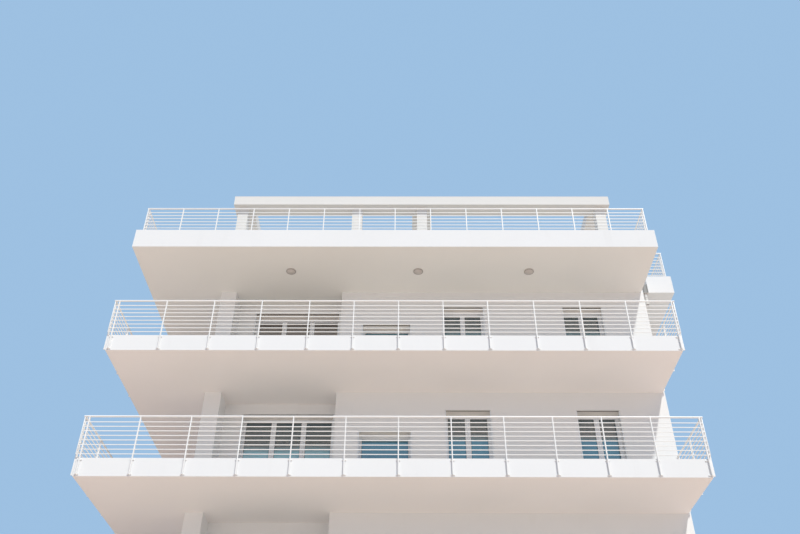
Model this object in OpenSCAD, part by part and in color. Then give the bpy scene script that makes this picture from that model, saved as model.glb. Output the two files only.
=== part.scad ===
// Apartment block with wrap-around balconies, metal railings and a roof pergola.
// Millimetres. The front faces -Y, +X is to the right and +Z is up.
// The origin is on the ground, under the middle of the walled body.

/* [Storeys] */
// Number of storeys under the roof slab
storeys = 5; // [4:1:8]
// Height from one floor level to the next
storey_h = 3000; // [2800:10:3400]
// Thickness of a floor slab, which is also its fascia height
slab_t = 400; // [300:5:500]
// Thickness of the roof slab
roof_t = 540; // [400:5:700]
// Height of the ground floor level above the ground
ground_t = 150; // [100:5:300]

/* [Walled body] */
// Width of the walled body, left face to right face
body_w = 11100; // [10800:50:14000]
// Depth of the walled body, front face to back face
body_d = 10000; // [8500:50:13000]
// Thickness of the outer walls
wall_t = 400; // [360:5:450]

/* [Balconies] */
// Depth of the balcony in front of the front wall
front_balcony = 1900; // [1400:10:2400]
// Width of the balcony along the left wall
left_balcony = 1885; // [1400:5:2400]
// Step of the balcony slab's right end behind the right wall's face
slab_step = 55; // [20:5:120]

/* [Recess in the front wall] */
// Width of the recess between the left wall and the front wall
recess_w = 2780; // [2500:10:3000]
// Depth of the recess behind the front wall's face
recess_d = 600; // [450:10:1200]

/* [Openings, measured from the wall's left end as seen from outside] */
// Left edge of the recess door
recess_door_x = 840; // [700:5:900]
// Width of the three-leaf recess door
recess_door_w = 2265; // [1800:5:2300]
// Height of the recess door
recess_door_h = 2330; // [2100:10:2400]
// Left edge of the small front window
small_x = 3735; // [3650:5:3900]
// Width of the small window
small_w = 1260; // [900:10:1500]
// Height of the small window's sill above the floor
small_sill = 800; // [600:10:900]
// Height of the small window
small_h = 790; // [600:10:1200]
// Left edge of the middle balcony door
door_a_x = 5785; // [5600:5:6500]
// Width of the middle balcony door
door_a_w = 1100; // [900:10:1300]
// Left edge of the right balcony door
door_b_x = 8900; // [8200:5:9300]
// Width of the right balcony door
door_b_w = 1050; // [900:10:1300]
// Height of the balcony doors and of the plain windows' heads
door_h = 2130; // [2000:10:2300]
// Height of a plain window's sill above the floor
plain_sill = 850; // [700:10:1100]
// Width of a plain window
plain_w = 1100; // [800:10:1300]
// Plain windows along the right wall
right_windows = 2; // [1:1:3]
// Plain windows along the back wall
back_windows = 4; // [2:1:4]
// Left edge of the plain window in the left wall
left_window_x = 2100; // [1200:50:2400]
// Left edge of the balcony door in the left wall
left_door_x = 5400; // [4600:50:6000]

/* [Window frames] */
// Depth of the reveal in front of a window frame
reveal_d = 300; // [200:5:340]
// Depth of the outer frame
frame_d = 60; // [50:1:70]
// Face width of the outer frame
frame_w = 18; // [14:1:60]
// Face width of a leaf's own frame
leaf_w = 62; // [45:1:75]
// Step of a leaf behind the outer frame's face
leaf_step = 12; // [6:1:16]
// Thickness of a double-glazed pane
pane_t = 24; // [18:1:30]
// Thickness of the stone sills and thresholds
sill_t = 30; // [20:1:40]
// Distance by which a sill stands proud of the wall
sill_nose = 30; // [15:1:50]

/* [Roller shutters] */
// Distance of the shutter slot behind the wall's face
slot_inset = 25; // [15:1:40]
// Width of the shutter slot
slot_w = 45; // [40:1:90]
// Height of the shutter slot above the window head
slot_h = 120; // [90:5:160]
// Thickness of the shutter's last slat
slat_t = 14; // [8:1:20]
// Thickness of the panel that closes the shutter box from below
box_panel_t = 15; // [10:1:20]
// Depth of a guide rail along the reveal
guide_d = 48; // [40:1:56]
// Distance by which a guide rail stands out of the reveal
guide_w = 26; // [20:1:34]
// Wall thickness of a guide rail
guide_t = 4; // [2:0.5:6]
// Clearance between the shutter and the walls of its guide
guide_gap = 3; // [1:0.5:5]

/* [Railings] */
// Height of the top rail above the slab
rail_h = 950; // [850:10:1150]
// Diameter of the top rail
rail_dia = 42; // [36:1:56]
// Number of thin bars under the top rail
bar_count = 8; // [5:1:10]
// Side of a thin square bar
bar_side = 14; // [10:1:18]
// Drop from the rail's top to the first bar
bar_drop = 150; // [100:1:175]
// Spacing of the thin bars
bar_pitch = 104; // [80:1:109]
// Width of a post along the rail
post_w = 22; // [16:1:30]
// Depth of a post across the rail
post_d = 40; // [30:1:50]
// Spacing of the balcony posts, rounded to fill each side
post_pitch = 1075; // [800:5:1400]
// Distance of the posts' centre line from the fascia
rail_out = 30; // [30:1:60]
// Distance of the other end posts from the end of their side
post_end = 60; // [50:5:120]
// Distance of the front railing's first post from the slab's left corner
front_post_left = 70; // [15:5:120]
// Distance of the front railing's last post from the slab's right corner
front_post_right = 25; // [15:5:120]
// Distance of a side railing's first post from the slab's front corner
side_post_front = 25; // [15:5:120]
// Height of a fixing bracket on the fascia
bracket_h = 24; // [16:1:40]
// Width of a fixing bracket
bracket_w = 90; // [60:1:120]
// Distance of the brackets from the fascia's edges
bracket_edge = 30; // [15:1:60]
// Overlap of a bracket with its post
bracket_bite = 2; // [1:1:6]
// First joint of the front railing on odd levels, from the slab's left edge
odd_joint_a = 4375; // [4000:5:5200]
// Second joint of the front railing on odd levels, from the slab's left edge
odd_joint_b = 8795; // [8200:5:10200]
// First joint of the front railing on even levels, from the slab's left edge
even_joint_a = 4505; // [4000:5:5200]
// Second joint of the front railing on even levels, from the slab's left edge
even_joint_b = 8635; // [8200:5:10200]
// Gap between two railing panels at a corner
panel_gap = 1; // [1:1:10]

/* [Roof terrace] */
// Set-back of the roof railing behind the front edge
roof_set_front = 255; // [150:5:400]
// Set-back of the roof railing at the sides and back
roof_set_side = 80; // [75:5:250]
// Spacing of the roof posts, rounded to fill each side
roof_post_pitch = 910; // [700:5:1300]
// Width of the square foot plate of a roof post
foot_w = 80; // [60:1:110]
// Thickness of a roof post's foot plate
foot_t = 8; // [5:1:12]
// Width of the roof strip that overhangs the right wall
strip_w = 825; // [600:5:1200]
// Set-back of the railing on the strip
strip_set = 60; // [55:5:120]
// Width of the chase for the roof drain
chase_w = 145; // [120:5:200]
// Depth of the chase for the roof drain
chase_d = 150; // [120:5:200]
// Diameter of the drain pipe
pipe_dia = 100; // [80:1:110]
// Drop of the drain pipe below the strip
pipe_drop = 350; // [200:10:600]

/* [Pergola] */
// Length of the pergola's front beam
pergola_w = 10760; // [10000:10:11500]
// Depth of the pergola, front face to back face
pergola_d = 5000; // [3000:50:7000]
// Overhang of the pergola beyond the left wall
pergola_left = 75; // [0:5:200]
// Height of a pergola beam
beam_h = 314; // [200:2:400]
// Depth of the front and back beams
beam_d = 467; // [300:1:600]
// Width of the cross beams
cross_w = 540; // [400:5:700]
// Clear height under the pergola's beams
pergola_clear = 2580; // [2200:10:2900]
// Side of a square pergola pillar
pillar_w = 285; // [200:5:320]
// Set-back of the pillars behind the beam's face
pillar_set = 150; // [50:5:180]
// Distance of the end pillars from the ends of the beam
pillar_end = 122; // [60:2:200]
// Left face of the second pillar, from the left end of the beam
pillar_b_x = 3400; // [2500:10:4200]
// Left face of the third pillar, from the left end of the beam
pillar_c_x = 5250; // [4800:10:7500]

/* [Ceiling lamps under the roof slab] */
// Diameter of a lamp
lamp_dia = 250; // [150:5:350]
// Height of a lamp, base ring and cover together
lamp_h = 60; // [40:1:90]
// Height of a lamp's base ring
lamp_ring_h = 20; // [10:1:30]
// Width of the base ring that shows round the cover
lamp_rim = 15; // [6:1:25]
// Distance of the lamps behind the slab's front edge
lamp_set = 985; // [600:5:1200]
// First lamp, from the slab's left edge
lamp_first = 3815; // [1000:5:4500]
// Distance from the first lamp to the second
lamp_gap_a = 3240; // [2000:5:4000]
// Distance from the second lamp to the third
lamp_gap_b = 2820; // [2000:5:4000]

/* [Hidden] */

render_white = "whitesmoke";
metal_white = "white";
stone_grey = "gainsboro";
frame_grey = "lightsteelblue";
glass_blue = "slategray";
box_brown = "rosybrown";
dark_grey = "dimgray";

// Overrun of a cutting shape past the face that it opens
over = 1;

// Faces of the walled body
x_left = -body_w / 2;
x_right = body_w / 2;
y_front = -body_d / 2;
y_back = body_d / 2;

// Edges of the balcony slabs
slab_left = x_left - left_balcony;
slab_right = x_right - slab_step;
slab_front = y_front - front_balcony;

// Heights
wall_h = storey_h - slab_t;
roof_bottom = ground_t + storeys * storey_h - slab_t;
roof_top = roof_bottom + roof_t;
strip_right = x_right + strip_w;

// Openings as [left edge, sill height, width, height, leaves]
recess_door = [recess_door_x, 0, recess_door_w, recess_door_h, 3];
small_window = [small_x, small_sill, small_w, small_h, 1];
balcony_doors = [[door_a_x, 0, door_a_w, door_h, 2], [door_b_x, 0, door_b_w, door_h, 2]];
plain_h = door_h - plain_sill;
left_openings = [[left_window_x, plain_sill, plain_w, plain_h, 2], [left_door_x, 0, door_a_w, door_h, 2]];
right_openings = plain_row(right_windows, body_d);
back_openings = plain_row(back_windows, body_w);

// Evenly spaced plain windows along a wall
function plain_row(count, length) =
    [for (i = [0 : count - 1])
        [length * (i + 0.5) / count - plain_w / 2, plain_sill, plain_w, plain_h, 2]];

// Level of the floor above storey number k, counted from 0 at the ground
function floor_z(k) = ground_t + k * storey_h;

// Frames of reference of the walls: x runs along the wall from its left end
// as seen from outside, y runs into the wall and z is up
module on_front() { translate([x_left, y_front, 0]) children(); }
module on_recess() { translate([x_left, y_front + recess_d, 0]) children(); }
module on_left() { translate([x_left, y_back, 0]) rotate([0, 0, -90]) children(); }
module on_right() { translate([x_right, y_front, 0]) rotate([0, 0, 90]) children(); }
module on_back() { translate([x_right, y_back, 0]) rotate([0, 0, 180]) children(); }

// Children once per storey, standing on that storey's floor
module each_storey() {
    for (k = [0 : storeys - 1])
        translate([0, 0, floor_z(k)]) children();
}

// Children once per balcony level, from the first to the last given
module each_level(first, last) {
    for (k = [first : last])
        translate([0, 0, floor_z(k)]) children();
}

// Children moved to the lower left corner of an opening in the wall's face
module at_opening(o) { translate([o[0], 0, o[1]]) children(); }

// Hole for one window or door, with its shutter slot and box panel seat
module opening_cut(o) {
    at_opening(o) {
        translate([0, -over, 0]) cube([o[2], wall_t + 2 * over, o[3]]);
        translate([0, slot_inset, o[3] - over]) cube([o[2], slot_w, slot_h + over]);
        translate([0, slot_inset + slot_w - over, o[3] - over])
            cube([o[2], reveal_d - slot_inset - slot_w + over, box_panel_t + over]);
    }
}

// Wall of one storey from one end to the other, with its openings
module wall_panel(from, to, openings) {
    difference() {
        translate([from, 0, 0]) cube([to - from, wall_t, wall_h]);
        for (o = openings) opening_cut(o);
    }
}

// Height of a window's frame, which stands on its stone sill or threshold
function frame_h(o) = o[3] - sill_t;
// Width of a leaf, and the clear width, left edge and clear height of its pane
function leaf_span(o) = (o[2] - 2 * frame_w) / o[4];
function pane_w(o) = leaf_span(o) - 2 * leaf_w;
function pane_x(o, i) = frame_w + i * leaf_span(o) + leaf_w;
function pane_h(o) = frame_h(o) - 2 * frame_w - 2 * leaf_w;

// Outer frame with its leaves set back in it
module window_frame(o) {
    at_opening(o) translate([0, reveal_d, sill_t]) difference() {
        cube([o[2], frame_d, frame_h(o)]);
        translate([frame_w, -over, frame_w])
            cube([o[2] - 2 * frame_w, leaf_step + over, frame_h(o) - 2 * frame_w]);
        for (i = [0 : o[4] - 1])
            translate([pane_x(o, i), -over, frame_w + leaf_w])
                cube([pane_w(o), frame_d + 2 * over, pane_h(o)]);
    }
}

// Panes of one window, one per leaf, held in the middle of the leaf
module window_panes(o) {
    at_opening(o)
        for (i = [0 : o[4] - 1])
            translate([pane_x(o, i), reveal_d + (frame_d + leaf_step - pane_t) / 2,
                       sill_t + frame_w + leaf_w])
                cube([pane_w(o), pane_t, pane_h(o)]);
}

// Last slat of the rolled-up shutter, hanging in its slot
module shutter_slat(o) {
    at_opening(o) translate([0, slot_inset + (slot_w - slat_t) / 2, o[3]])
        cube([o[2], slat_t, slot_h]);
}

// Guide rails of the shutter: a hollow profile on each side of the opening,
// with a lipped groove towards the other one for the shutter's edge
module shutter_guides_at(o) {
    groove = slat_t + 2 * guide_gap;
    at_opening(o) for (side = [0, 1])
        translate([side * o[2], slot_inset + slot_w / 2, sill_t]) mirror([side, 0, 0])
            linear_extrude(o[3] - sill_t) difference() {
                translate([0, -guide_d / 2]) square([guide_w, guide_d]);
                translate([guide_t, -guide_d / 2 + guide_t])
                    square([guide_w - 2 * guide_t, guide_d - 2 * guide_t]);
                translate([guide_w - guide_t - over, -groove / 2])
                    square([guide_t + 2 * over, groove]);
            }
}

// Panel that closes the shutter box from below, between the slot and the frame
module shutter_panel(o) {
    at_opening(o) translate([0, slot_inset + slot_w, o[3]])
        cube([o[2], reveal_d - slot_inset - slot_w, box_panel_t]);
}

// Stone sill or threshold, from its nose to the wall's inner face
module stone_sill(o) {
    at_opening(o) translate([0, -sill_nose, 0])
        cube([o[2], sill_nose + wall_t, sill_t]);
}

// Round top rail from x = from to x = to, and thin square bars that reach past its ends by
// the distances bars_before and bars_after, with z = 0 at the slab's top
module rails(from, to, bars_before = 0, bars_after = 0) {
    translate([from, 0, rail_h - rail_dia / 2]) rotate([0, 90, 0])
        cylinder(h = to - from, d = rail_dia, $fn = 32);
    for (i = [0 : bar_count - 1])
        translate([from - bars_before, -bar_side / 2,
                   rail_h - bar_drop - i * bar_pitch - bar_side / 2])
            cube([to - from + bars_before + bars_after, bar_side, bar_side]);
}

// Positions of the posts between two ends, at the pitch that fits best
function post_xs(first, last, pitch) =
    let (n = max(1, round((last - first) / pitch)))
        [for (i = [0 : n]) first + i * (last - first) / n];

// Posts of a railing made in lengths that meet at the joints, evenly spaced in each length
function jointed_posts(first, joints, last) =
    let (stops = concat([first], joints, [last]))
        concat([first],
            [for (i = [1 : len(stops) - 1])
                let (xs = post_xs(stops[i - 1], stops[i], post_pitch))
                    for (n = [1 : len(xs) - 1]) xs[n]]);

// Railing panel fixed to the outer face of a slab's fascia, which is at y = 0
// with the outside at y < 0 and is as long as length. The rail runs from from to to, with
// posts at the given places. A bracket near a corner moves along to stay on the fascia.
module balcony_panel(length, from, to, bars_before, bars_after, posts) {
    translate([0, -rail_out, 0]) rails(from, to, bars_before, bars_after);
    for (x = posts) {
        translate([x - post_w / 2, -rail_out - post_d / 2, bracket_edge - slab_t])
            cube([post_w, post_d, slab_t - bracket_edge + rail_h - rail_dia / 2]);
        bracket_x = min(max(x, bracket_end), length - bracket_end);
        for (z = [bracket_edge - slab_t, -bracket_edge - bracket_h])
            translate([bracket_x - bracket_w / 2, -bracket_d, z])
                cube([bracket_w, bracket_d, bracket_h]);
    }
}

// Railing panel that stands on the slab, with its centre line at y = 0
module roof_panel(from, to, first, last) {
    rails(from, to);
    for (x = post_xs(first, last, roof_post_pitch)) {
        translate([x - post_w / 2, -post_d / 2, 0])
            cube([post_w, post_d, rail_h - rail_dia / 2]);
        translate([x - foot_w / 2, -foot_w / 2, 0]) cube([foot_w, foot_w, foot_t]);
    }
}

// Reach of a balcony rail round an outer corner of the slab
corner_reach = rail_out + rail_dia / 2;
// End of a side panel behind the rail of the panel that it meets
side_stop = rail_out - rail_dia / 2 - panel_gap;
// Depth of a bracket, from the fascia into the back of its post
bracket_d = rail_out - post_d / 2 + bracket_bite;
// Least distance of a bracket's middle from a corner of the slab
bracket_end = bracket_w / 2 + 5;
// Distance by which a thin bar reaches nearer than the rail to the bars it meets at a corner
bar_step = (rail_dia - bar_side) / 2;

module front_railing(joints) {
    length = slab_right - slab_left;
    translate([slab_left, slab_front, 0])
        balcony_panel(length, -corner_reach, length + corner_reach, -bar_step, -bar_step,
                      jointed_posts(front_post_left, joints, length - front_post_right));
}

module left_railing() {
    length = y_back - slab_front;
    translate([slab_left, y_back, 0]) rotate([0, 0, -90])
        balcony_panel(length, -corner_reach, length + side_stop, -bar_step, bar_step,
                      jointed_posts(post_end, [], length - side_post_front));
}

module right_end_railing() {
    length = front_balcony;
    translate([slab_right, slab_front, 0]) rotate([0, 0, 90])
        balcony_panel(length, -side_stop, length, bar_step, 0,
                      jointed_posts(side_post_front, [], length - post_end));
}

module back_end_railing() {
    length = left_balcony;
    translate([x_left, y_back, 0]) rotate([0, 0, 180])
        balcony_panel(length, bracket_w - post_end, length + side_stop, 0, bar_step,
                      jointed_posts(post_end, [], length - post_end));
}

// Stone and slabs
module ground_slab() {
    color(stone_grey) translate([x_left, y_front, 0]) cube([body_w, body_d, ground_t]);
}

module floor_slabs() {
    color(render_white) each_level(1, storeys - 1) translate([0, 0, -slab_t]) {
        translate([slab_left, slab_front, 0])
            cube([slab_right - slab_left, y_back - slab_front, slab_t]);
        translate([x_left, y_front, 0]) cube([body_w, body_d, slab_t]);
    }
}

module roof_slab() {
    color(render_white) translate([0, 0, roof_bottom]) {
        translate([slab_left, slab_front, 0])
            cube([slab_right - slab_left, y_back - slab_front, roof_t]);
        translate([x_left, y_front, 0]) cube([body_w, body_d, roof_t]);
    }
}

module roof_side_strip() {
    color(render_white) difference() {
        translate([x_right, y_front, roof_bottom]) cube([strip_w, body_d, roof_t]);
        translate([x_right - over, y_front - over, roof_bottom - over])
            cube([chase_w + over, chase_d + over, roof_t + 2 * over]);
    }
}

// Walls, one panel per storey
module front_wall() {
    color(render_white) each_storey() on_front()
        wall_panel(wall_t + recess_w, body_w, concat([small_window], balcony_doors));
}

module recess_wall() {
    color(render_white) each_storey() on_recess()
        wall_panel(wall_t, wall_t + recess_w, [recess_door]);
}

module recess_return() {
    color(render_white) each_storey() on_front()
        translate([wall_t + recess_w, wall_t, 0]) cube([wall_t, recess_d, wall_h]);
}

module left_wall() {
    color(render_white) each_storey() on_left()
        wall_panel(wall_t, body_d, left_openings);
}

module right_wall() {
    color(render_white) each_storey() on_right()
        wall_panel(wall_t, body_d - wall_t, right_openings);
}

module back_wall() {
    color(render_white) each_storey() on_back()
        wall_panel(0, body_w, back_openings);
}

// Railings
module front_railings(first, last) {
    for (k = [first : last])
        each_level(k, k)
            front_railing(k % 2 == 1 ? [odd_joint_a, odd_joint_b] : [even_joint_a, even_joint_b]);
}

module front_railings_lower() { color(metal_white) front_railings(1, 2); }
module front_railings_upper() { color(metal_white) front_railings(3, storeys - 1); }
module left_railings_lower() { color(metal_white) each_level(1, 2) left_railing(); }
module left_railings_upper() { color(metal_white) each_level(3, storeys - 1) left_railing(); }
module right_end_railings() { color(metal_white) each_level(1, storeys - 1) right_end_railing(); }
module back_end_railings() { color(metal_white) each_level(1, storeys - 1) back_end_railing(); }

// Centre lines of the roof railing
roof_rail_left = slab_left + roof_set_side;
roof_rail_right = slab_right - roof_set_side;
roof_rail_front = slab_front + roof_set_front;
roof_rail_back = y_back - roof_set_side;
strip_rail_front = y_front + chase_d + foot_w / 2;
strip_rail_right = strip_right - strip_set;
rail_r = rail_dia / 2;
meet = rail_r + panel_gap;

module roof_front_railing() {
    length = roof_rail_right - roof_rail_left;
    color(metal_white) translate([roof_rail_left, roof_rail_front, roof_top])
        roof_panel(-rail_r, length + rail_r, 0, length);
}

module roof_back_railing() {
    length = strip_rail_right - roof_rail_left;
    color(metal_white) translate([strip_rail_right, roof_rail_back, roof_top]) rotate([0, 0, 180])
        roof_panel(-rail_r, length + rail_r, 0, length);
}

module roof_side_railings() {
    side = roof_rail_back - roof_rail_front;
    short_side = strip_rail_front - roof_rail_front;
    across = strip_rail_right - roof_rail_right;
    strip_side = roof_rail_back - strip_rail_front;
    color(metal_white) translate([0, 0, roof_top]) {
        translate([roof_rail_left, roof_rail_back, 0]) rotate([0, 0, -90])
            roof_panel(meet, side - meet, foot_w + meet, side - foot_w - meet);
        translate([roof_rail_right, roof_rail_front, 0]) rotate([0, 0, 90])
            roof_panel(meet, short_side - meet, foot_w + meet, short_side - foot_w - meet);
        translate([roof_rail_right, strip_rail_front, 0])
            roof_panel(-rail_r, across + rail_r, 0, across);
        translate([strip_rail_right, strip_rail_front, 0]) rotate([0, 0, 90])
            roof_panel(meet, strip_side - meet, foot_w + meet, strip_side - foot_w - meet);
    }
}

// Window and door frames
module recess_door_frames() {
    color(frame_grey) each_storey() on_recess() window_frame(recess_door);
}

module small_window_frames() {
    color(frame_grey) each_storey() on_front() window_frame(small_window);
}

module balcony_door_frames() {
    color(frame_grey) each_storey() on_front() for (o = balcony_doors) window_frame(o);
}

module side_window_frames() {
    color(frame_grey) each_storey() {
        on_left() for (o = left_openings) window_frame(o);
        on_right() for (o = right_openings) window_frame(o);
    }
}

module back_window_frames() {
    color(frame_grey) each_storey() on_back() for (o = back_openings) window_frame(o);
}

// Panes
module recess_door_glass() {
    color(glass_blue) each_storey() on_recess() window_panes(recess_door);
}

module small_window_glass() {
    color(glass_blue) each_storey() on_front() window_panes(small_window);
}

module balcony_door_glass() {
    color(glass_blue) each_storey() on_front() for (o = balcony_doors) window_panes(o);
}

module side_window_glass() {
    color(glass_blue) each_storey() {
        on_left() for (o = left_openings) window_panes(o);
        on_right() for (o = right_openings) window_panes(o);
    }
}

module back_window_glass() {
    color(glass_blue) each_storey() on_back() for (o = back_openings) window_panes(o);
}

// Shutter parts and sills at every opening
module shutter_slats() {
    color(dark_grey) each_storey() {
        on_recess() shutter_slat(recess_door);
        on_front() for (o = concat([small_window], balcony_doors)) shutter_slat(o);
        on_left() for (o = left_openings) shutter_slat(o);
        on_right() for (o = right_openings) shutter_slat(o);
        on_back() for (o = back_openings) shutter_slat(o);
    }
}

module shutter_guides() {
    color(frame_grey) each_storey() {
        on_recess() shutter_guides_at(recess_door);
        on_front() for (o = concat([small_window], balcony_doors)) shutter_guides_at(o);
        on_left() for (o = left_openings) shutter_guides_at(o);
        on_right() for (o = right_openings) shutter_guides_at(o);
        on_back() for (o = back_openings) shutter_guides_at(o);
    }
}

module shutter_box_panels() {
    color(box_brown) each_storey() {
        on_recess() shutter_panel(recess_door);
        on_front() for (o = concat([small_window], balcony_doors)) shutter_panel(o);
        on_left() for (o = left_openings) shutter_panel(o);
        on_right() for (o = right_openings) shutter_panel(o);
        on_back() for (o = back_openings) shutter_panel(o);
    }
}

module window_sills() {
    color(stone_grey) each_storey() {
        on_recess() stone_sill(recess_door);
        on_front() for (o = concat([small_window], balcony_doors)) stone_sill(o);
        on_left() for (o = left_openings) stone_sill(o);
        on_right() for (o = right_openings) stone_sill(o);
        on_back() for (o = back_openings) stone_sill(o);
    }
}

// Round lamp hanging down from z = 0: a base ring with a domed cover below it.
// The cover is the cap of a sphere that is as wide as the ring's inner edge.
module ceiling_lamp() {
    cover_r = lamp_dia / 2 - lamp_rim;
    cover_h = lamp_h - lamp_ring_h;
    dome_r = (cover_r * cover_r + cover_h * cover_h) / (2 * cover_h);
    translate([0, 0, -lamp_ring_h]) cylinder(h = lamp_ring_h, d = lamp_dia, $fn = 48);
    intersection() {
        translate([0, 0, dome_r - lamp_h]) sphere(r = dome_r, $fn = 96);
        translate([0, 0, -lamp_h]) cylinder(h = cover_h, d = lamp_dia, $fn = 48);
    }
}

module ceiling_lamps() {
    color(dark_grey)
        for (x = [lamp_first, lamp_first + lamp_gap_a, lamp_first + lamp_gap_a + lamp_gap_b])
            translate([slab_left + x, slab_front + lamp_set, roof_bottom]) ceiling_lamp();
}

// Drain hopper in the chase, with the stub of its pipe
module roof_drain() {
    color(dark_grey) translate([x_right, y_front, roof_bottom]) {
        cube([chase_w, chase_d, roof_t / 2]);
        translate([chase_w / 2, chase_d / 2, -pipe_drop])
            cylinder(h = pipe_drop, d = pipe_dia, $fn = 48);
    }
}

// Pergola
pergola_x = x_left - pergola_left;
beam_z = roof_top + pergola_clear;
pillar_xs = [pillar_end, pillar_b_x, pillar_c_x, pergola_w - pillar_end - pillar_w];

module pergola_front_beam() {
    color(render_white) translate([pergola_x, y_front, beam_z]) cube([pergola_w, beam_d, beam_h]);
}

module pergola_back_beam() {
    color(render_white) translate([pergola_x, y_front + pergola_d - beam_d, beam_z])
        cube([pergola_w, beam_d, beam_h]);
}

module pergola_cross_beams() {
    middle = pillar_c_x + (pillar_w - cross_w) / 2;
    color(render_white)
        for (x = [0, middle, pergola_w - cross_w])
            translate([pergola_x + x, y_front + beam_d, beam_z])
                cube([cross_w, pergola_d - 2 * beam_d, beam_h]);
}

module pergola_pillars() {
    color(render_white)
        for (x = pillar_xs, y = [pillar_set, pergola_d - pillar_set - pillar_w])
            translate([pergola_x + x, y_front + y, roof_top])
                cube([pillar_w, pillar_w, pergola_clear]);
}

ground_slab();
floor_slabs();
roof_slab();
roof_side_strip();
front_wall();
recess_wall();
recess_return();
left_wall();
right_wall();
back_wall();
front_railings_lower();
front_railings_upper();
left_railings_lower();
left_railings_upper();
right_end_railings();
back_end_railings();
roof_front_railing();
roof_side_railings();
roof_back_railing();
recess_door_frames();
small_window_frames();
balcony_door_frames();
side_window_frames();
back_window_frames();
recess_door_glass();
small_window_glass();
balcony_door_glass();
side_window_glass();
back_window_glass();
shutter_slats();
shutter_guides();
shutter_box_panels();
window_sills();
ceiling_lamps();
roof_drain();
pergola_front_beam();
pergola_back_beam();
pergola_cross_beams();
pergola_pillars();
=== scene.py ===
"""Apartment block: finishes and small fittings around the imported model.

Every piece is in metres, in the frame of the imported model, and rides on its one body.
"""

from itertools import product
import math

import bmesh
import bpy
from bpy.props import FloatProperty, FloatVectorProperty, PointerProperty
from bpy.types import Operator, Panel, PropertyGroup
from mathutils import Matrix, Vector


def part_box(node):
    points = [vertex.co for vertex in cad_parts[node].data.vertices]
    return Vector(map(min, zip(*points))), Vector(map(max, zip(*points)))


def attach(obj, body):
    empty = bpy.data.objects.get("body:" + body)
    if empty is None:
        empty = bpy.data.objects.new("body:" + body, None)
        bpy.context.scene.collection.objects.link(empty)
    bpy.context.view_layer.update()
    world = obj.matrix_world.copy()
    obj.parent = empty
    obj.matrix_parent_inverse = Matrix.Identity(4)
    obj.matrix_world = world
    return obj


bl_info = {
    "name": "Apartment block",
    "version": (1, 0, 0),
    "blender": (4, 5, 0),
    "location": "3D View > Sidebar > Block",
    "description": "Finishes and small fittings of a white apartment block with balconies",
    "category": "Object",
}

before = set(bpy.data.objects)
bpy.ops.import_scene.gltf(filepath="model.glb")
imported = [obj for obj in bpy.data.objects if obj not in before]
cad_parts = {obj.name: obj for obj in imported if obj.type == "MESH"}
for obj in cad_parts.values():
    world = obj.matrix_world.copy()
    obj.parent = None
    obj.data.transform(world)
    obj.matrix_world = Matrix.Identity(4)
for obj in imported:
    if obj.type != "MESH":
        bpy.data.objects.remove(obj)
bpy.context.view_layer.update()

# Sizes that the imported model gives. The slabs' box takes in their part inside the house, so
# the railing of the balconies' right end says where that end is.
BODY_LOW, BODY_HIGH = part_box("ground_slab")
SLAB_LOW, SLAB_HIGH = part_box("floor_slabs")
BALCONY_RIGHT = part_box("right_end_railings")[0].x
ROOF_LOW, ROOF_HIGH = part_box("roof_slab")
STRIP_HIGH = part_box("roof_side_strip")[1]
DRAIN_LOW, DRAIN_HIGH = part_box("roof_drain")
DRAIN_MIDDLE = (DRAIN_LOW + DRAIN_HIGH) / 2
LAMPS_LOW, LAMPS_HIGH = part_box("ceiling_lamps")

# Sizes repeated from the part's source, in metres
STOREYS = 5
STOREY_H = 3.0
GROUND_T = 0.15
SLAB_T = 0.4
RECESS_D = 0.6
WINDOW_W = 1.1
WINDOW_H = 1.28
WINDOW_SILL = 0.85
DOOR_W = 1.1
DOOR_H = 2.13
REVEAL_D = 0.3
FRAME_D = 0.06
FRAME_W = 0.018
LEAF_W = 0.062
LEAF_STEP = 0.012
PANE_T = 0.024
SILL_T = 0.03
SLOT_INSET = 0.025
SLOT_W = 0.045
SLAT_T = 0.014
GUIDE_W = 0.026
RAIL_H = 0.95
RAIL_DIA = 0.042
RAIL_OUT = 0.03
BAR_COUNT = 8
BAR_SIDE = 0.014
BAR_DROP = 0.15
BAR_PITCH = 0.104
POST_W = 0.022
POST_END = 0.06
FRONT_POST_LEFT = 0.07
FRONT_POST_RIGHT = 0.025
SIDE_POST_FRONT = 0.025
POST_PITCH = 1.075
BRACKET_H = 0.024
BRACKET_EDGE = 0.03
BRACKET_D = 0.012
BRACKET_END = 0.05
ODD_JOINTS = (4.375, 8.795)
EVEN_JOINTS = (4.505, 8.635)
ROOF_SET_FRONT = 0.255
ROOF_SET_SIDE = 0.08
ROOF_POST_PITCH = 0.91
STRIP_SET = 0.06
CHASE_D = 0.15
FOOT_W = 0.08
FOOT_T = 0.008
PANEL_GAP = 0.001
LAMP_XS = (-3.62, -0.38, 2.44)
LAMP_R = 0.125
LAMP_RING_H = 0.02
LAMP_RIM = 0.015
PIPE_R = 0.05

LEFT, FRONT = BODY_LOW.x, BODY_LOW.y
RIGHT, BACK = BODY_HIGH.x, BODY_HIGH.y
BAR_HEIGHTS = [RAIL_H - BAR_DROP - i * BAR_PITCH for i in range(BAR_COUNT)]


# Places on the block

def at(x, y, z):
    """A move to that point."""
    return Matrix.Translation((x, y, z))


def turn(degrees, axis):
    """A turn about an axis through the origin."""
    return Matrix.Rotation(math.radians(degrees), 4, axis)


def wall_frame(x, y, degrees):
    """Frame of a wall: x runs along it from its left end, y into it and z up."""
    return at(x, y, 0.0) @ turn(degrees, "Z")


def on_storey(k):
    """A lift to the floor of storey k."""
    return at(0.0, 0.0, GROUND_T + k * STOREY_H)


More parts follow.
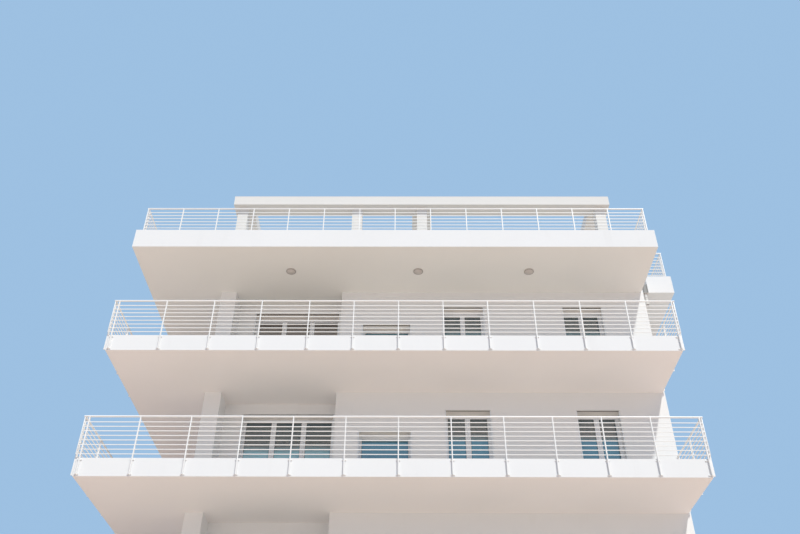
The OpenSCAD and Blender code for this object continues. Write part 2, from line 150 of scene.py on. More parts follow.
class Opening:
    """A window or door, measured along its wall from the wall's left end as seen from outside."""

    def __init__(self, left, sill, width, height, leaves):
        self.left = left
        self.sill = sill
        self.width = width
        self.leaves = leaves
        self.head = sill + height
        self.middle = left + width / 2
        self.frame_h = height - SILL_T
        self.leaf_span = (width - 2 * FRAME_W) / leaves
        self.pane_w = self.leaf_span - 2 * LEAF_W
        self.pane_h = self.frame_h - 2 * FRAME_W - 2 * LEAF_W
        self.pane_z = sill + SILL_T + self.frame_h / 2

    def leaf_left(self, i):
        """Left edge of leaf i."""
        return self.left + FRAME_W + i * self.leaf_span


def plain_window(left):
    """A window of the side and back walls."""
    return Opening(left, WINDOW_SILL, WINDOW_W, WINDOW_H, 2)


def plain_row(count, length):
    """Evenly spaced plain windows along a wall."""
    return [plain_window(length * (i + 0.5) / count - WINDOW_W / 2) for i in range(count)]


# Frame of each wall that has windows, with the openings of one storey
WALLS = (
    (wall_frame(LEFT, FRONT + RECESS_D, 0), [Opening(0.84, 0.0, 2.265, 2.33, 3)]),
    (wall_frame(LEFT, FRONT, 0), [
        Opening(3.735, 0.8, 1.26, 0.79, 1),
        Opening(5.785, 0.0, DOOR_W, DOOR_H, 2),
        Opening(8.9, 0.0, 1.05, DOOR_H, 2),
    ]),
    (wall_frame(LEFT, BACK, -90), [plain_window(2.1), Opening(5.4, 0.0, DOOR_W, DOOR_H, 2)]),
    (wall_frame(RIGHT, FRONT, 90), plain_row(2, BACK - FRONT)),
    (wall_frame(RIGHT, BACK, 180), plain_row(4, RIGHT - LEFT)),
)


def each_opening():
    """Every opening of the building, with its wall's frame lifted to its storey."""
    for k in range(STOREYS):
        for wall, openings in WALLS:
            for opening in openings:
                yield on_storey(k) @ wall, opening


def post_places(first, last, pitch):
    """Places of the posts between two ends, at the pitch that fits best."""
    count = max(1, round((last - first) / pitch))
    return [first + i * (last - first) / count for i in range(count + 1)]


def jointed_posts(*stops):
    """Posts of a railing made in lengths that meet at the stops."""
    places = [stops[0]]
    for first, last in zip(stops, stops[1:]):
        places += post_places(first, last, POST_PITCH)[1:]
    return places


def balcony_panels():
    """Frame, length and post places of each balcony railing panel, with z = 0 at the slab's
    top and the slab's outer face at y = 0."""
    width = BALCONY_RIGHT - SLAB_LOW.x
    depth = SLAB_HIGH.y - SLAB_LOW.y
    end_depth = FRONT - SLAB_LOW.y
    end_width = LEFT - SLAB_LOW.x
    for k in range(1, STOREYS):
        joints = ODD_JOINTS if k % 2 else EVEN_JOINTS
        front_stops = (FRONT_POST_LEFT, *joints, width - FRONT_POST_RIGHT)
        panels = (
            (SLAB_LOW.x, SLAB_LOW.y, 0, width, front_stops),
            (SLAB_LOW.x, SLAB_HIGH.y, -90, depth, (POST_END, depth - SIDE_POST_FRONT)),
            (BALCONY_RIGHT, SLAB_LOW.y, 90, end_depth, (SIDE_POST_FRONT, end_depth - POST_END)),
            (LEFT, SLAB_HIGH.y, 180, end_width, (POST_END, end_width - POST_END)),
        )
        for x, y, degrees, length, stops in panels:
            yield on_storey(k) @ wall_frame(x, y, degrees), length, jointed_posts(*stops)


def roof_panels():
    """Frame, length and post places of each roof railing panel, with z = 0 at the roof's top
    and the railing's centre line at y = 0."""
    left = SLAB_LOW.x + ROOF_SET_SIDE
    right = BALCONY_RIGHT - ROOF_SET_SIDE
    front = SLAB_LOW.y + ROOF_SET_FRONT
    back = BACK - ROOF_SET_SIDE
    strip_front = FRONT + CHASE_D + FOOT_W / 2
    strip_right = STRIP_HIGH.x - STRIP_SET
    inset = FOOT_W + RAIL_DIA / 2 + PANEL_GAP
    panels = (
        (left, front, 0, 0.0, right - left),
        (strip_right, back, 180, 0.0, strip_right - left),
        (left, back, -90, inset, back - front - inset),
        (right, front, 90, inset, strip_front - front - inset),
        (right, strip_front, 0, 0.0, strip_right - right),
        (strip_right, strip_front, 90, inset, back - strip_front - inset),
    )
    for x, y, degrees, first, last in panels:
        place = at(0.0, 0.0, ROOF_HIGH.z) @ wall_frame(x, y, degrees)
        yield place, last, post_places(first, last, ROOF_POST_PITCH)


# Mesh helpers

def as_mesh(name, bm):
    """The bmesh as a mesh of that name."""
    mesh = bpy.data.meshes.new(name)
    bm.to_mesh(mesh)
    bm.free()
    return mesh


def block(size, middle=(0.0, 0.0, 0.0)):
    """A box of that size round its middle."""
    bm = bmesh.new()
    bmesh.ops.create_cube(bm, size=1.0, matrix=at(*middle) @ Matrix.Diagonal((*size, 1.0)))
    return bm


def round_edges(bm, edges, offset, segments):
    """Rounds the edges."""
    bmesh.ops.bevel(bm, geom=edges, affect="EDGES", offset=offset, segments=segments,
                    profile=0.5, material=-1, clamp_overlap=True)


def rounded_block(name, size, offset, segments):
    """A box round the origin with all its edges rounded."""
    bm = block(size)
    round_edges(bm, bm.edges[:], offset, segments)
    return as_mesh(name, bm)


def turned_mesh(name, section, segments, ring=False):
    """A closed round shape from (radius, height) points: its outline from axis to axis, or
    the section of a ring."""
    bm = bmesh.new()
    points = [bm.verts.new((radius, 0.0, height)) for radius, height in section]
    following = points[1:] + points[:1] if ring else points[1:]
    edges = [bm.edges.new(pair) for pair in zip(points, following)]
    bmesh.ops.spin(bm, geom=points + edges, axis=(0, 0, 1), angle=math.tau, steps=segments,
                   use_merge=True)
    bmesh.ops.remove_doubles(bm, verts=bm.verts, dist=1e-5)
    bmesh.ops.recalc_face_normals(bm, faces=bm.faces)
    return as_mesh(name, bm)


def new_object(name, data):
    """An object of that data, in the scene."""
    made = bpy.data.objects.new(name, data)
    bpy.context.scene.collection.objects.link(made)
    return made


class Piece:
    """Gathers copies of small shapes into one piece that rides on the block."""

    def __init__(self, name):
        self.name = name
        self.bm = bmesh.new()

    def add(self, mesh, place):
        """A copy of the mesh at the place that the matrix gives."""
        count = len(self.bm.verts)
        self.bm.from_mesh(mesh)
        self.bm.verts.ensure_lookup_table()
        bmesh.ops.transform(self.bm, matrix=place, verts=self.bm.verts[count:])

    def finish(self, material, slot=None, smooth=None):
        """Makes the object, gives it its finish and sets it riding."""
        if not self.bm.verts:
            raise RuntimeError(f"{self.name} has no shapes")
        mesh = as_mesh(self.name, self.bm)
        if smooth is not None:
            mesh.shade_smooth()
            mesh.set_sharp_from_angle(angle=math.radians(smooth))
        mesh.materials.append(material)
        piece = new_object(self.name, mesh)
        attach(piece, "root")


# Node helpers

class Nodes:
    """Adds and links the nodes of a material or group."""

    def __init__(self, tree):
        self.tree = tree

    def add(self, kind, inputs=None, **settings):
        """A node with its settings, and its inputs given by name or number."""
        node = self.tree.nodes.new(kind)
        for key, value in settings.items():
            setattr(node, key, value)
        for key, value in (inputs or {}).items():
            self.feed(node.inputs[key], value)
        return node

    def feed(self, socket, value):
        """Links a socket to the input, or sets the input's value."""
        if isinstance(value, bpy.types.NodeSocket):
            self.tree.links.new(value, socket)
        else:
            socket.default_value = value

    def feed_named(self, node, inputs):
        """Feeds the node's inputs, whose names have _ for a space."""
        for key, value in inputs.items():
            self.feed(node.inputs[key.replace("_", " ")], value)

    def math(self, operation, a, b=0.0, c=0.0):
        """Result of a sum of one to three numbers."""
        return self.add("ShaderNodeMath", {0: a, 1: b, 2: c}, operation=operation).outputs[0]

    def times(self, a, b):
        """Two numbers multiplied."""
        return self.math("MULTIPLY", a, b)

    def parts(self, vector):
        """The x, y and z of a vector."""
        return self.add("ShaderNodeSeparateXYZ", {0: vector}).outputs

    def noise(self, vector, scale, detail=2.0, roughness=0.5):
        """Noise between 0 and 1."""
        inputs = {"Vector": vector, "Scale": scale, "Detail": detail, "Roughness": roughness}
        return self.add("ShaderNodeTexNoise", inputs).outputs[0]

    def ramp(self, value, low, high, to_low=0.0, to_high=1.0):
        """The value from one range to another, kept within it."""
        inputs = {0: value, 1: low, 2: high, 3: to_low, 4: to_high}
        return self.add("ShaderNodeMapRange", inputs, clamp=True).outputs[0]

    def step(self, value, limit, below=0.0, above=1.0):
        """One number below the limit and another above it, with a soft edge of 2 mm."""
        soft = 0.001
        return self.ramp(value, limit - soft, limit + soft, below, above)

    def mix(self, share, a, b, blend="MIX"):
        """Two colours mixed."""
        inputs = {0: share, 6: a, 7: b}
        return self.add("ShaderNodeMix", inputs, data_type="RGBA", blend_type=blend).outputs[2]


SOCKETS = {float: "NodeSocketFloat", tuple: "NodeSocketColor", type(None): "NodeSocketVector"}


def new_group(name, outputs, **inputs):
    """A shader node group: its tree, the nodes to fill it with, its inputs and its outputs.
    A number, a colour or None for a vector is given as each socket's value."""
    tree = bpy.data.node_groups.new(name, "ShaderNodeTree")
    for in_out, sockets in (("INPUT", inputs), ("OUTPUT", outputs)):
        for key, value in sockets.items():
            socket = tree.interface.new_socket(name=key.replace("_", " "), in_out=in_out,
                                               socket_type=SOCKETS[type(value)])
            if value is not None:
                socket.default_value = value
    entry, leave = tree.nodes.new("NodeGroupInput"), tree.nodes.new("NodeGroupOutput")
    return tree, Nodes(tree), entry.outputs, leave.inputs


# Shared effects. Each function is named as the group that it makes.

def fine_grain():
    """Fine grain of plaster, paint or concrete: a height, and a tone between 0 and 1."""
    tree, nodes, given, out = new_group(
        "fine_grain", {"Height": 0.0, "Tone": 0.0}, Vector=None, Scale=200.0, Pits=0.3)
    place, scale = given["Vector"], given["Scale"]
    fine = nodes.noise(place, scale, 4.0, 0.65)
    cells = nodes.add("ShaderNodeTexVoronoi", {"Vector": place, "Scale": nodes.times(scale, 0.35)})
    hole = nodes.ramp(cells.outputs["Distance"], 0.0, 0.28, 1.0, 0.0)
    dented = nodes.math("SUBTRACT", fine, nodes.times(hole, given["Pits"]))
    nodes.feed(out["Height"], dented)
    nodes.feed(out["Tone"], nodes.noise(place, nodes.times(scale, 0.12), 3.0, 0.6))
    return tree


def weathering():
    """Weathering of an upright face: broad clouds, and streaks that run down it."""
    tree, nodes, given, out = new_group(
        "weathering", {"Clouds": 0.0, "Streaks": 0.0}, Vector=None, Cloud_Scale=0.5,
        Streak_Scale=5.0, Streak_Reach=0.25)
    place = given["Vector"]
    cloud = nodes.noise(place, given["Cloud Scale"], 5.0, 0.55)
    nodes.feed(out["Clouds"], nodes.ramp(cloud, 0.32, 0.72))
    x, y, z = nodes.parts(place)
    along = nodes.times(z, given["Streak Reach"])
    drawn = nodes.add("ShaderNodeCombineXYZ", {0: x, 1: y, 2: along}).outputs[0]
    streak = nodes.ramp(nodes.noise(drawn, given["Streak Scale"], 6.0, 0.6), 0.54, 0.78)
    patch = nodes.ramp(nodes.noise(place, 0.9), 0.42, 0.66)
    nodes.feed(out["Streaks"], nodes.times(streak, patch))
    return tree


def facing():
    """Masks of the faces that look up and down."""
    tree, nodes, _, out = new_group("facing", {"Up": 0.0, "Down": 0.0})
    z = nodes.parts(nodes.add("ShaderNodeNewGeometry").outputs["True Normal"])[2]
    nodes.feed(out["Up"], nodes.ramp(z, 0.4, 0.6))
    nodes.feed(out["Down"], nodes.ramp(z, -0.4, -0.6))
    return tree


def floor_tiles():
    """Square floor tiles: their colour and a height."""
    tree, nodes, given, out = new_group(
        "floor_tiles", {"Colour": (0.0, 0.0, 0.0, 1.0), "Height": 0.0}, Vector=None, Side=0.3,
        Joint=0.004, Light=(0.6, 0.57, 0.52, 1.0), Dark=(0.55, 0.52, 0.47, 1.0),
        Grout=(0.4, 0.38, 0.35, 1.0))
    brick = nodes.add("ShaderNodeTexBrick", {
        "Vector": given["Vector"], "Color1": given["Light"], "Color2": given["Dark"],
        "Mortar": given["Grout"], "Scale": 1.0, "Mortar Size": given["Joint"],
        "Mortar Smooth": 0.1, "Bias": 0.0, "Brick Width": given["Side"],
        "Row Height": given["Side"]}, offset=0.0, squash=1.0)
    tone = nodes.ramp(nodes.noise(given["Vector"], 60.0, 3.0, 0.7), 0.35, 0.7, 0.94, 1.04)
    grey = nodes.add("ShaderNodeCombineColor", {0: tone, 1: tone, 2: tone}).outputs[0]
    nodes.feed(out["Colour"], nodes.mix(1.0, brick.outputs["Color"], grey, "MULTIPLY"))
    nodes.feed(out["Height"], nodes.math("SUBTRACT", 1.0, brick.outputs["Fac"]))
    return tree


def storey_band():
    """Mask of a band near one height of every storey, such as the splash zone over a slab."""
    tree, nodes, given, out = new_group(
        "storey_band", {"Mask": 0.0}, Vector=None, Start=0.0, Reach=0.3, Ragged=0.5)
    over = nodes.math("SUBTRACT", nodes.parts(given["Vector"])[2], given["Start"])
    within = nodes.math("FLOORED_MODULO", over, STOREY_H)
    uneven = nodes.noise(given["Vector"], 2.2, 4.0, 0.6)
    bent = nodes.math("MULTIPLY_ADD", uneven, given["Ragged"], 0.6)
    share = nodes.math("DIVIDE", within, nodes.times(given["Reach"], bent))
    nodes.feed(out["Mask"], nodes.ramp(share, 0.0, 1.0, 1.0, 0.0))
    return tree


def shade(colour, factor=1.0):
    """The colour with full alpha, made darker or lighter by the factor."""
    return (*[channel * factor for channel in colour[:3]], 1.0)


class Finish:
    """A material in the making: its shader, the block's own coordinates, the colour so far
    and, where a scale is given, a fine grain."""

    def __init__(self, name, colour, scale=None, pits=0.0):
        self.material = bpy.data.materials.new(name)
        self.material.use_nodes = True
        self.nodes = Nodes(self.material.node_tree)
        self.shader = self.material.node_tree.nodes["Principled BSDF"]
        self.place = self.nodes.add("ShaderNodeTexCoord").outputs["Object"]
        self.colour = shade(colour)
        if scale is not None:
            grain = self.group(fine_grain, Scale=scale, Pits=pits)
            self.tone, self.height = grain["Tone"], grain["Height"]

    def group(self, make, **inputs):
        """A shared effect in this material, with its own values."""
        tree = bpy.data.node_groups.get(make.__name__) or make()
        node = self.nodes.add("ShaderNodeGroup", node_tree=tree)
        if "Vector" in node.inputs:
            inputs["Vector"] = self.place
        self.nodes.feed_named(node, inputs)
        return node.outputs

    def lay(self, colour, mask, strength=None):
        """Lays a colour over the one so far, where the mask says and as strongly."""
        share = mask if strength is None else self.nodes.times(mask, strength)
        self.colour = self.nodes.mix(share, self.colour, colour)

    def bump(self, height, distance, strength, below=None):
        """A bump of that height in metres, on top of the one below it."""
        inputs = {"Strength": strength, "Distance": distance, "Height": height}
        if below is not None:
            inputs["Normal"] = below
        return self.nodes.add("ShaderNodeBump", inputs).outputs[0]

    def done(self, **inputs):
        """The material, with its colour and the shader's inputs as given."""
        self.nodes.feed_named(self.shader, dict(inputs, Base_Color=self.colour))
        return self.material

    def grained(self, low, high, distance, strength=0.6, height=None, tone=0.2, **inputs):
        """The material, with its roughness between low and high as the grain's tone says, and
        the bump of the grain or of the height that is given."""
        rough = self.nodes.ramp(self.tone, tone, 1.0 - tone, low, high)
        normal = self.bump(self.height if height is None else height, distance, strength)
        return self.done(Roughness=rough, Normal=normal, **inputs)


# Sizes and colours that a user would change

def a_colour(label, text, default):
    """A colour with its name, description and default."""
    return FloatVectorProperty(name=label, description=text, default=default, size=3,
                               subtype="COLOR", min=0.0, max=1.0)


def a_length(label, text, default, low, high):
    """A length in metres with its name, description, default and range."""
    return FloatProperty(name=label, description=text, default=default, min=low, max=high,
                         subtype="DISTANCE", unit="LENGTH", precision=4)


def a_share(label, text, default):
    """A share with its name, description and default."""
    return FloatProperty(name=label, description=text, default=default, min=0.0, max=1.0,
                         subtype="FACTOR")


def an_angle(label, text, degrees):
    """An angle with its name, description and default."""
    return FloatProperty(name=label, description=text, default=math.radians(degrees),
                         subtype="ANGLE", unit="ROTATION")


class BlockColours(PropertyGroup):
    """Colours of the block."""

    paint: a_colour("Paint", "Painted render of walls and slabs", (0.845, 0.86, 0.87))
    # Painted light: the three soffit colours are lighter, warmer or cooler than the paint and stand
    # in for the light bounced up onto the slabs' faces that look down.
    soffit: a_colour("Soffit", "Paint under the balcony slabs", (0.945, 0.915, 0.91))
    roof_soffit: a_colour("Roof soffit", "Paint under the roof slab", (0.885, 0.885, 0.87))
    strip_soffit: a_colour("Strip soffit", "Paint under the side strip", (0.82, 0.88, 0.90))
    # Painted shade: a darker, warmer copy of the wall paint for the pergola, which has the same
    # render.
    pergola: a_colour("Pergola", "Paint of the pergola", (0.80, 0.79, 0.765))
    tile: a_colour("Balcony tile", "Floor tiles of the balconies", (0.81, 0.73, 0.62))
    paver: a_colour("Roof paver", "Paving of the roof terrace", (0.62, 0.575, 0.52))
    concrete: a_colour("Ground slab", "Concrete of the ground slab", (0.50, 0.49, 0.47))
    railing: a_colour("Railing", "Powder coat of the railings", (0.91, 0.915, 0.91))
    window_frame: a_colour("Window frame", "Coat of the window frames", (0.86, 0.90, 0.94))
    pane: a_colour("Pane", "Dark room behind the upper panes", (0.045, 0.085, 0.105))
    # Painted reflections: the panes' lower part takes the sky's blue, and the top storey's recess
    # door panes the warm soffit's brown-grey.
    pane_foot: a_colour("Pane foot", "Tint of the panes' lower part", (0.085, 0.250, 0.330))
    pane_top: a_colour("Top pane", "Room behind the top recess door", (0.175, 0.163, 0.157))
    gasket: a_colour("Gasket", "Rubber round the panes", (0.030, 0.030, 0.032))
    slat: a_colour("Shutter slat", "Roller shutter slats", (0.79, 0.71, 0.66))
    box_panel: a_colour("Box panel", "Panels under the shutter boxes", (0.96, 0.91, 0.87))
    sill: a_colour("Sill", "Stone sills and thresholds", (0.66, 0.65, 0.62))
    lamp: a_colour("Lamp", "Ceiling lamps", (0.54, 0.505, 0.485))
    drain: a_colour("Drain", "Roof drain", (0.56, 0.56, 0.55))
    bolt: a_colour("Bolt", "Zinc-plated bolts", (0.62, 0.63, 0.64))


class BlockWear(PropertyGroup):
    """How strongly the weather shows."""

    clouds: a_share("Clouds", "Broad unevenness of the paint", 0.28)
    streaks: a_share("Streaks", "Streaks that run down the walls", 0.10)
    splash: a_share("Splash zone", "Dirt just over each floor", 0.16)
    grime: a_share("Railing grime", "Dirt at the foot of the posts", 0.12)


class BlockFittings(PropertyGroup):
    """Sizes of the small fittings."""

    bolt_r: a_length("Bolt radius", "Corner radius of a bracket bolt's head", 0.007, 0.005, 0.011)
    bolt_spread: a_length("Bolt spread", "From a bracket bolt to its middle", 0.029, 0.022, 0.034)
    foot_bolt_r: a_length("Foot bolt radius", "Corner radius of its head", 0.007, 0.004, 0.010)
    corner_w: a_length("Corner upright", "Side of a railing corner's bar", 0.018, 0.016, 0.030)
    weld: a_length("Weld", "Size of the weld where a bar meets a post", 0.005, 0.002, 0.010)
    gasket_w: a_length("Gasket width", "Width of the ring round a pane", 0.006, 0.003, 0.012)
    cover_w: a_length("Cover strip", "Width of the strip between leaves", 0.034, 0.020, 0.060)
    drip_h: a_length("Drip rail", "Height of the rail at a leaf's foot", 0.026, 0.015, 0.040)


class BlockStage(PropertyGroup):
    """Light, floor and camera."""

    sun: FloatProperty(name="Sun", description="Strength of the sun", default=3.3, min=0.0)
    sun_way: FloatVectorProperty(name="Sun's way", description="Where the sunlight goes",
                                 default=(-0.317, 0.6, -1.0), subtype="XYZ")
    sun_size: an_angle("Sun size", "How soft the sun's shadows are", 2.5)
    sun_colour: a_colour("Sun colour", "Colour of the sunlight", (1.0, 0.985, 0.92))
    sky: a_colour("Sky light", "Light from the sky on the block", (0.30, 0.40, 0.55))
    background: a_colour("Background", "Sky behind the block and in its glass", (0.34, 0.53, 0.76))
    floor: a_colour("Floor", "Colour of the floor", (0.69, 0.55, 0.465))
    floor_side: a_length("Floor side", "Side of the square floor", 700.0, 50.0, 2000.0)
    lens: FloatProperty(name="Lens", description="Focal length of the camera", default=37.606,
                        min=10.0, max=200.0, unit="CAMERA")
    pitch: an_angle("Camera pitch", "How far the camera looks up", 37.980)
    yaw: an_angle("Camera yaw", "Turn of the camera to the right", -0.4197)
    roll: an_angle("Camera roll", "Roll of the camera", 0.3072)
    eye: FloatVectorProperty(name="Camera place", description="Where the camera stands",
                             default=(-0.72, -22.776, 1.72), subtype="TRANSLATION",
                             unit="LENGTH")


# Finishes

def painted_render(name, colour, wear, underside_light=None, floor=None):
    """White painted render, with a paved top where floor gives (side, joint, colour). Where a
    colour for the faces that look down is given, they get it as painted light: lighter, warmer or
    cooler than the render, it stands in for the light bounced up onto them from the floor and the
    tiles."""
    finish = Finish(name, colour, 230.0, 0.25)
    nodes = finish.nodes
    weather = finish.group(weathering, Cloud_Scale=0.45, Streak_Scale=5.0, Streak_Reach=0.12)
    faces = finish.group(facing)
    clouds = nodes.times(weather["Clouds"], wear.clouds)
    finish.lay(shade(colour, 0.90), clouds)
    finish.lay(shade(colour, 0.83), finish.tone, 0.10)
    upright = nodes.math("SUBTRACT", 1.0, faces["Down"])
    streaks = nodes.times(weather["Streaks"], upright)
    finish.lay((0.47, 0.455, 0.43, 1.0), streaks, wear.streaks)
    # Painted light on the faces that look down, in the colour given for them, with the same clouds.
    if underside_light is not None:
        below = nodes.mix(clouds, shade(underside_light), shade(underside_light, 0.90))
        finish.lay(below, faces["Down"])
    rough = nodes.ramp(finish.tone, 0.2, 0.8, 0.80, 0.93)
    trowelled = finish.bump(nodes.noise(finish.place, 1.6, 3.0), 0.006, 0.5)
    normal = finish.bump(finish.height, 0.0005, 0.6, trowelled)
    if floor is None:
        splash = finish.group(storey_band, Start=GROUND_T, Reach=0.35, Ragged=0.8)
        finish.lay((0.52, 0.49, 0.45, 1.0), splash["Mask"], wear.splash)
        # Painted shade: the faces that look up, which the sun lights most, are laid with a darker,
        # warmer colour.
        finish.lay((0.55, 0.535, 0.50, 1.0), faces["Up"], 0.35)
    else:
        side, joint, stone = floor
        tiles = finish.group(floor_tiles, Side=side, Joint=joint, Light=shade(stone),
                             Dark=shade(stone, 0.90), Grout=shade(stone, 0.66))
        walked = nodes.times(weather["Clouds"], 0.35)
        finish.lay(nodes.mix(walked, tiles["Colour"], shade(stone, 0.74)), faces["Up"])
        sunk = nodes.times(tiles["Height"], faces["Up"])
        normal = finish.bump(sunk, 0.003, 0.8, normal)
        rough = nodes.math("ADD", rough, nodes.times(faces["Up"], -0.28))
    return finish.done(Roughness=rough, Normal=normal, Specular_IOR_Level=0.35)


def trowelled_concrete(colour):
    """Grey concrete with clouds, specks and pits."""
    finish = Finish("trowelled_concrete", colour, 120.0, 0.6)
    finish.lay(shade(colour, 0.78), finish.group(weathering, Cloud_Scale=0.8)["Clouds"])
    finish.lay(shade(colour, 1.22), finish.tone, 0.5)
    return finish.grained(0.75, 0.95, 0.002, 0.8)


def powder_coat(name, colour, wear, rough):
    """Satin powder coat with its faint orange peel, a little dirt and dull patches."""
    finish = Finish(name, colour, 420.0)
    weather = finish.group(weathering, Cloud_Scale=2.5, Streak_Scale=14.0, Streak_Reach=0.1)
    foot = finish.group(storey_band, Start=GROUND_T - SLAB_T + BRACKET_EDGE, Reach=0.5, Ragged=0.7)
    finish.lay(shade(colour, 0.82), weather["Clouds"], 0.12)
    dirt = finish.nodes.math("MAXIMUM", weather["Streaks"], foot["Mask"])
    finish.lay((0.50, 0.47, 0.43, 1.0), dirt, wear.grime)
    return finish.grained(rough - 0.05, rough + 0.07, 0.0002, tone=0.25)


def dark_glass(name, pane, foot, top=None):
    """Double glazing in front of a dark room, slightly bowed so that its reflections bend. Its
    lower part, up to about 1.5 to 1.7 m over each floor, gets the colour given for it, which on the
    front is a painted reflection of the sky, and where a top colour is given, the top storey gets a
    painted reflection of the warm soffit."""
    finish = Finish(name, foot)
    nodes = finish.nodes
    # Heights over each floor where the lower part's colour, a painted reflection of the sky on the
    # front, gives way to the dark room.
    reflection_fade_low, reflection_fade_high, ragged = 1.52, 1.72, 0.12
    bow = nodes.noise(finish.place, 0.7, 1.0, 0.4)
    dust = nodes.noise(finish.place, 9.0, 5.0, 0.6)
    height = nodes.parts(finish.place)[2]
    above = nodes.math("FLOORED_MODULO", nodes.math("SUBTRACT", height, GROUND_T), STOREY_H)
    uneven = nodes.math("MULTIPLY_ADD", bow, ragged, above)
    finish.lay(shade(pane), nodes.ramp(uneven, reflection_fade_low, reflection_fade_high))
    # Painted reflection of the warm soffit on the top storey's panes.
    if top is not None:
        top_floor = GROUND_T + (STOREYS - 1) * STOREY_H
        finish.lay(shade(top), nodes.ramp(height, top_floor - 0.1, top_floor))
    finish.lay((0.35, 0.36, 0.36, 1.0), nodes.ramp(dust, 0.45, 0.85, 0.0, 0.10))
    return finish.done(Roughness=nodes.ramp(dust, 0.4, 0.9, 0.02, 0.10), IOR=2.2,
                       Coat_Weight=1.0, Coat_Roughness=0.02,
                       Normal=finish.bump(bow, 0.01, 0.35))


def gasket_rubber(colours):
    """Dull black rubber."""
    finish = Finish("gasket_rubber", colours.gasket, 300.0, 0.1)
    finish.lay(shade(colours.gasket, 1.9), finish.tone)
    return finish.grained(0.58, 0.78, 0.0002, 0.5)


def zinc_plate(colours):
    """Zinc-plated steel."""
    finish = Finish("zinc_plate", colours.bolt, 600.0, 0.1)
    finish.lay(shade(colours.bolt, 0.72), finish.tone)
    return finish.grained(0.28, 0.5, 0.0001, 0.5, Metallic=0.9)


def matt_plastic(name, colour, scale, rough):
    """Moulded or painted board with a fine matt texture."""
    finish = Finish(name, colour, scale, 0.1)
    finish.lay(shade(colour, 0.84), finish.group(weathering, Cloud_Scale=1.6)["Clouds"], 0.4)
    finish.lay(shade(colour, 1.25), finish.tone, 0.15)
    return finish.grained(rough - 0.07, rough + 0.07, 0.0003)


def honed_stone(colour):
    """Pale honed stone with soft veins."""
    finish = Finish("honed_stone", colour, 260.0, 0.2)
    nodes = finish.nodes
    vein = nodes.add("ShaderNodeTexWave", {
        "Vector": finish.place, "Scale": 1.3, "Distortion": 9.0, "Detail": 4.0,
        "Detail Scale": 1.6}).outputs["Fac"]
    clouds = nodes.ramp(nodes.noise(finish.place, 3.0, 4.0, 0.6), 0.3, 0.7)
    finish.lay(shade(colour, 0.88), clouds)
    finish.lay(shade(colour, 0.66), nodes.ramp(vein, 0.88, 1.0), 0.35)
    finish.lay(shade(colour, 0.7), finish.tone, 0.18)
    return finish.grained(0.38, 0.55, 0.0003, 0.5)


def drain_metal(colour):
    """Grey drain, with painted shade on the front of its hopper, darkest towards the sides, and on
    the open end of its pipe.
    """
    finish = Finish("drain_metal", colour, 240.0, 0.3)
    nodes = finish.nodes
    down = finish.group(facing)["Down"]
    moved = nodes.add("ShaderNodeMapping", {
        "Vector": finish.place, "Location": (-DRAIN_MIDDLE.x, -DRAIN_MIDDLE.y, 0.0)}).outputs[0]
    x, y, z = nodes.parts(moved)
    flat = nodes.add("ShaderNodeCombineXYZ", {0: x, 1: y}).outputs[0]
    away = nodes.add("ShaderNodeVectorMath", {0: flat}, operation="LENGTH").outputs["Value"]
    inside = nodes.step(away, PIPE_R - 0.005, 1.0, 0.0)
    lowest = nodes.step(z, DRAIN_LOW.z + 0.003, 1.0, 0.0)
    # Painted shade on the pipe's open end, where it looks down at its lowest point.
    shaded_mouth = nodes.times(nodes.times(inside, lowest), down)
    hopper = nodes.step(z, ROOF_LOW.z + 0.002)
    # Painted shade on the hopper's faces that don't look down, darkest towards its sides.
    front = nodes.times(hopper, nodes.math("SUBTRACT", 1.0, down))
    side = nodes.ramp(nodes.math("ABSOLUTE", x), 0.02, 0.065)
    finish.lay(shade(colour, 1.25), finish.tone)
    finish.lay(shade(colour, 0.75), shaded_mouth)
    finish.lay(nodes.mix(side, shade(colour, 0.42), shade(colour, 0.16)), front)
    return finish.grained(0.42, 0.6, 0.0004)


def lamp_shell(colour):
    """Grey lamp body, with the ribs of its cover running round it."""
    finish = Finish("lamp_shell", colour, 320.0)
    nodes = finish.nodes
    rib_pitch = 0.0035
    z = nodes.parts(finish.place)[2]
    cover = nodes.step(z, LAMPS_HIGH.z - LAMP_RING_H, 1.0, 0.0)
    rib = nodes.math("SINE", nodes.times(z, math.tau / rib_pitch))
    finish.lay(shade(colour, 1.15), cover)
    finish.lay(shade(colour, 0.8), finish.tone, 0.25)
    return finish.grained(0.35, 0.5, 0.0004, 0.5, nodes.times(rib, cover))


def dress(names, material):
    """Gives the material to the CAD nodes of those names."""
    for name in names:
        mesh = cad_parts[name].data
        mesh.materials.clear()
        mesh.materials.append(material)


def made_before(name):
    """The finish of that name, which an earlier step made."""
    material = bpy.data.materials.get(name)
    if material is None:
        raise RuntimeError(f"{name} isn't made yet: the steps run in the panel's order")
    return material


def shared_finish(make, colours):
    """The finish that the function of its name makes, made once for all pieces."""
    return bpy.data.materials.get(make.__name__) or make(colours)


# Shapes of the fittings

def hexagon_bolt(name, radius):
    """A hexagon head on a washer, standing on z = 0 and sunk a little into what it holds."""
    washer_t, sink = 0.0018, 0.0002
    head_h = radius * 0.7
    bm = bmesh.new()
    for sides, low_r, high_r, height, foot in (
            (12, 1.25 * radius, 1.2 * radius, washer_t, -sink),
            (6, radius, 0.94 * radius, head_h, washer_t - 2 * sink)):
        bmesh.ops.create_cone(bm, cap_ends=True, segments=sides, radius1=low_r, radius2=high_r,
                              depth=height, matrix=at(0, 0, foot + height / 2))
    return as_mesh(name, bm)


